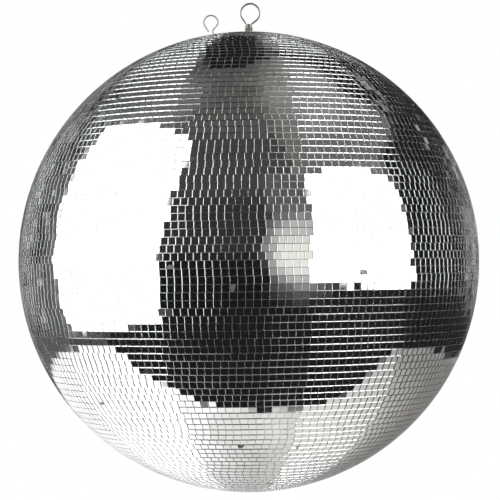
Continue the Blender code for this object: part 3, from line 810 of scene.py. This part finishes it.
class Studio:
    """Paints the surroundings, layer on layer, over the directions seen from the ball."""

    def __init__(self, graph, base):
        self.graph = graph
        self.look = graph.node("ShaderNodeTexCoord").outputs["Generated"]
        self.height = graph.node("ShaderNodeSeparateXYZ", Vector=self.look).outputs["Z"]
        self.colour = graph.node("ShaderNodeRGB").outputs[0]
        self.colour.default_value = (*base, 1)

    def paint(self, mask, colour):
        self.colour = self.graph.blend(mask, self.colour, colour)

    def inside(self, corners, soft=1.0):
        """Inside a convex patch with these corners, each an azimuth and an elevation."""
        ways = [direction(*corner) for corner in corners]
        middle = sum(ways, Vector())
        planes = [b.cross(a).normalized() for a, b in zip(ways, ways[1:] + ways[:1])]
        planes = [plane if plane.dot(middle) > 0 else -plane for plane in planes]
        nearest = None
        for plane in planes:
            depth = self.graph.vector("DOT_PRODUCT", self.look, plane)
            nearest = depth if nearest is None else self.graph.math("MINIMUM", nearest, depth)
        half = math.sin(math.radians(soft)) / 2
        return self.graph.spread(nearest, -half, half)

    def above(self, elevation, soft=2.0):
        low, high = (math.sin(math.radians(elevation + s * soft / 2)) for s in (-1, 1))
        return self.graph.spread(self.height, low, high)

    def below(self, elevation, soft=2.0):
        low, high = (math.sin(math.radians(elevation + s * soft / 2)) for s in (-1, 1))
        return self.graph.spread(self.height, low, high, 1.0, 0.0)

    def sector(self, start, end, soft=2.0):
        """Between two azimuths less than half a turn apart."""
        planes = [direction(start + 90, 0), direction(end - 90, 0)]
        depths = [self.graph.vector("DOT_PRODUCT", self.look, plane) for plane in planes]
        half = math.sin(math.radians(soft)) / 2
        return self.graph.spread(self.graph.math("MINIMUM", *depths), -half, half)

    def round(self, azimuth, elevation, inner, outer):
        """A round glow, full within one angle of its middle and gone at the other."""
        closeness = self.graph.vector("DOT_PRODUCT", self.look, direction(azimuth, elevation))
        edges = [math.cos(math.radians(a)) for a in (outer, inner)]
        return self.graph.spread(closeness, *edges)

    def both(self, *masks):
        joined = masks[0]
        for mask in masks[1:]:
            joined = self.graph.math("MULTIPLY", joined, mask)
        return joined


GAIN = 1.11  # makes up for what the tiles absorb
LEFT_BOX = (3.7, 3.76, 3.85)  # radiance of the soft boxes
RIGHT_BOX = (3.9, 3.97, 4.06)
BACKDROP = 0.72


def grey(value, warm=0.0):
    return (value * (1 + warm), value, value * (1 - warm))


def build_world():
    """Paints what the mirrors show, patch over patch, and a plain backdrop for the camera.

    The backdrop is white behind the ball and pale grey round about. A patch is given by
    azimuths, elevations and the softness of its edge, all in degrees.
    """
    world = bpy.data.worlds.new("studio")
    bpy.context.scene.world = world
    world.use_nodes = True
    graph = Graph(world.node_tree)
    for node in list(world.node_tree.nodes):
        world.node_tree.nodes.remove(node)
    studio = Studio(graph, grey(0.16))
    paint, inside, above, below = studio.paint, studio.inside, studio.above, studio.below
    sector, both = studio.sector, studio.both

    # Walls behind the ball and at its sides
    paint(sector(-185, -113, 8), grey(0.095, -0.02))
    paint(both(sector(-182, -146, 14), above(-8, 6), below(26, 10)), grey(0.21, -0.02))
    paint(both(sector(-166, -148, 8), above(30, 10)), grey(0.15))
    paint(sector(86, 182, 5), grey(0.012))
    paint(both(sector(136, 168, 10), above(-6, 6), below(9, 8)), grey(0.14))
    paint(both(sector(164, 184, 6), above(17, 6), below(50, 8)), grey(0.10, 0.05))

    # Things standing about along the walls
    clutter = graph.noise(6, 4, 0.65, vector=studio.look, stretch=(1, 1, 2.6))
    shelves = both(above(-14, 6), below(44, 10))
    paint(both(sector(-186, -120, 8), shelves, graph.spread(clutter, 0.50, 0.60)), grey(0.03))
    paint(both(sector(-186, -120, 8), shelves, graph.spread(clutter, 0.46, 0.34)), grey(0.34))
    paint(both(sector(132, 182, 8), shelves, graph.spread(clutter, 0.52, 0.62)), grey(0.01))
    paint(both(sector(132, 182, 8), shelves, graph.spread(clutter, 0.44, 0.33)), grey(0.34, 0.05))

    # Ceiling
    paint(above(56, 6), grey(0.075, 0.05))
    paint(both(sector(-140, -72, 14), above(54, 6), below(78, 8)), grey(0.13))
    paint(both(sector(27, 124, 6), above(40, 5)), grey(0.125, 0.05))
    paint(both(sector(50, 160, 24), above(58, 8), below(86, 6)), grey(0.21, 0.03))
    hatch = ((-172, 26), (-165, 48), (-151, 60), (-160, 69), (180, 69), (170, 62), (179, 28))
    paint(inside(hatch, 2), grey(0.010))

    # Dark room behind the camera
    room = sector(-46, 27, 2)
    paint(both(room, below(62, 6)), grey(0.048, 0.03))
    paint(both(room, below(30, 10)), grey(0.028, 0.02))
    paint(both(room, below(2, 8)), grey(0.009))
    paint(both(sector(8, 32, 6), above(23, 4), below(41, 4)), grey(0.09, 0.02))

    # Dark floor, and the sweep of white paper under and behind the ball
    paint(both(sector(-118, -40, 4), below(-22, 3)), grey(0.07))
    paint(both(sector(-62, 92, 8), below(-24, 3)), grey(0.011))
    paint(both(sector(24, 178, 3), below(-8, 3)), grey(0.012))
    edges = (
        (-82.5, -30), (-77, -39), (-66, -51.5), (60, -50), (91, -31), (112, -24.8),
        (134, -19), (158, -9.6), (171, -4.5), (-170.5, -4.7), (-140, -17.7), (-125, -20.5),
    )
    paper = inside(edges, 1.5)
    paint(paper, grey(0.66))
    paint(both(paper, sector(-188, -30, 50)), grey(1.25))
    paint(both(paper, sector(30, 182, 40)), grey(0.25, 0.04))
    paint(both(paper, sector(20, 182, 40), below(-45, 46)), grey(0.66, 0.03))
    paint(below(-77, 14), grey(0.74, 0.02))
    under_the_ball = (
        ((-86, -26), (0, -67.7), (0, -20)),
        ((-80, -26), (37, -74), (60, -40), (0, -20)),
        ((37, -74), (64, -69), (84, -55), (89, -29), (0, -20)),
    )
    for patch in under_the_ball:
        paint(inside(patch, 1.5), grey(0.011))

    # Glow of a lamp beside the camera
    paint(both(studio.round(25, 4, 6, 27), sector(10, 46, 4)), grey(0.17, 0.02))
    lamp = sector(-20, 31, 1)
    paint(both(studio.round(24, 5, 5, 20), lamp), grey(0.50, 0.02))
    paint(both(studio.round(23, 2, 5, 12), lamp), (0.78, 0.76, 0.72))

    # Soft boxes
    left = ((-116, 41), (-75, 58), (-45, 57), (-38, 47), (-47, -26.5), (-107.5, -20))
    right = ((33, 39.8), (69, 39.5), (84, 31.5), (86.5, -8.7), (29.4, -9.2))
    paint(inside(left, 0.6), LEFT_BOX)
    paint(inside(right, 0.6), RIGHT_BOX)

    seen = graph.node("ShaderNodeLightPath").outputs["Is Camera Ray"]
    background = graph.node("ShaderNodeBackground", Color=studio.colour, Strength=GAIN)
    backdrop = graph.blend(studio.round(180, 0, 30, 60), grey(BACKDROP), grey(1.0))
    behind = graph.node("ShaderNodeBackground", Color=backdrop)
    mixed = graph.node("ShaderNodeMixShader")
    for socket, value in zip(mixed.inputs, (seen, background.outputs[0], behind.outputs[0])):
        graph.feed(socket, value)
    output = graph.node("ShaderNodeOutputWorld")
    graph.feed(output.inputs["Surface"], mixed.outputs[0])


FLOOR_DROP = 1.3
FLOOR_RADIUS = 3.0


def build_floor():
    """A pale floor below the ball, fading out at its rim. The mirrors see the world's own."""
    mesh = bpy.data.meshes.new("floor")
    bm = bmesh.new()
    bmesh.ops.create_circle(bm, cap_ends=True, segments=96, radius=FLOOR_RADIUS)
    bm.to_mesh(mesh)
    bm.free()
    floor = bpy.data.objects.new("floor", mesh)
    floor.location = BALL_CENTRE - Vector((0, 0, FLOOR_DROP))
    bpy.context.scene.collection.objects.link(floor)
    floor.visible_glossy = False
    floor.visible_transmission = False
    material, graph, shader = new_material("pale_floor")
    where = graph.node("ShaderNodeTexCoord").outputs["Object"]
    mottle = graph.noise(3, 4, 0.6)
    pale = graph.blend(mottle, (0.86, 0.86, 0.85), (0.90, 0.90, 0.89))
    set_inputs(graph, shader, Base_Color=pale, Roughness=0.7)
    away = graph.node("ShaderNodeVectorMath", {"operation": "LENGTH"})
    graph.feed(away.inputs[0], where)
    fade = graph.spread(away.outputs["Value"], 0.3 * FLOOR_RADIUS, 0.98 * FLOOR_RADIUS)
    clear = graph.node("ShaderNodeBsdfTransparent")
    mixed = graph.node("ShaderNodeMixShader")
    for socket, value in zip(mixed.inputs, (fade, shader.outputs[0], clear.outputs[0])):
        graph.feed(socket, value)
    output = material.node_tree.nodes["Material Output"]
    graph.feed(output.inputs["Surface"], mixed.outputs[0])
    mesh.materials.append(material)


CAMERA_DISTANCE = 2.0
CAMERA_DROP = 0.014  # below the ball's centre
LENS = 131.7
SENSOR_WIDTH = 36
SHIFT = (0.0024, 0.0235)


def build_camera():
    data = bpy.data.cameras.new("camera")
    data.lens, data.sensor_width = LENS, SENSOR_WIDTH
    data.shift_x, data.shift_y = SHIFT
    camera = bpy.data.objects.new("camera", data)
    bpy.context.scene.collection.objects.link(camera)
    camera.location = BALL_CENTRE + Vector((0, -CAMERA_DISTANCE, -CAMERA_DROP))
    camera.rotation_euler = (math.pi / 2 + math.atan2(CAMERA_DROP, CAMERA_DISTANCE), 0, 0)
    bpy.context.scene.camera = camera


finish_cad_nodes()
mirror_tiles()
bottom_mirror()
adhesive_bed()
hanging_loop()
loop_rivet()
swivel_stem()
safety_eye()
build_world()
build_floor()
build_camera()
bpy.context.scene.view_settings.view_transform = "Standard"
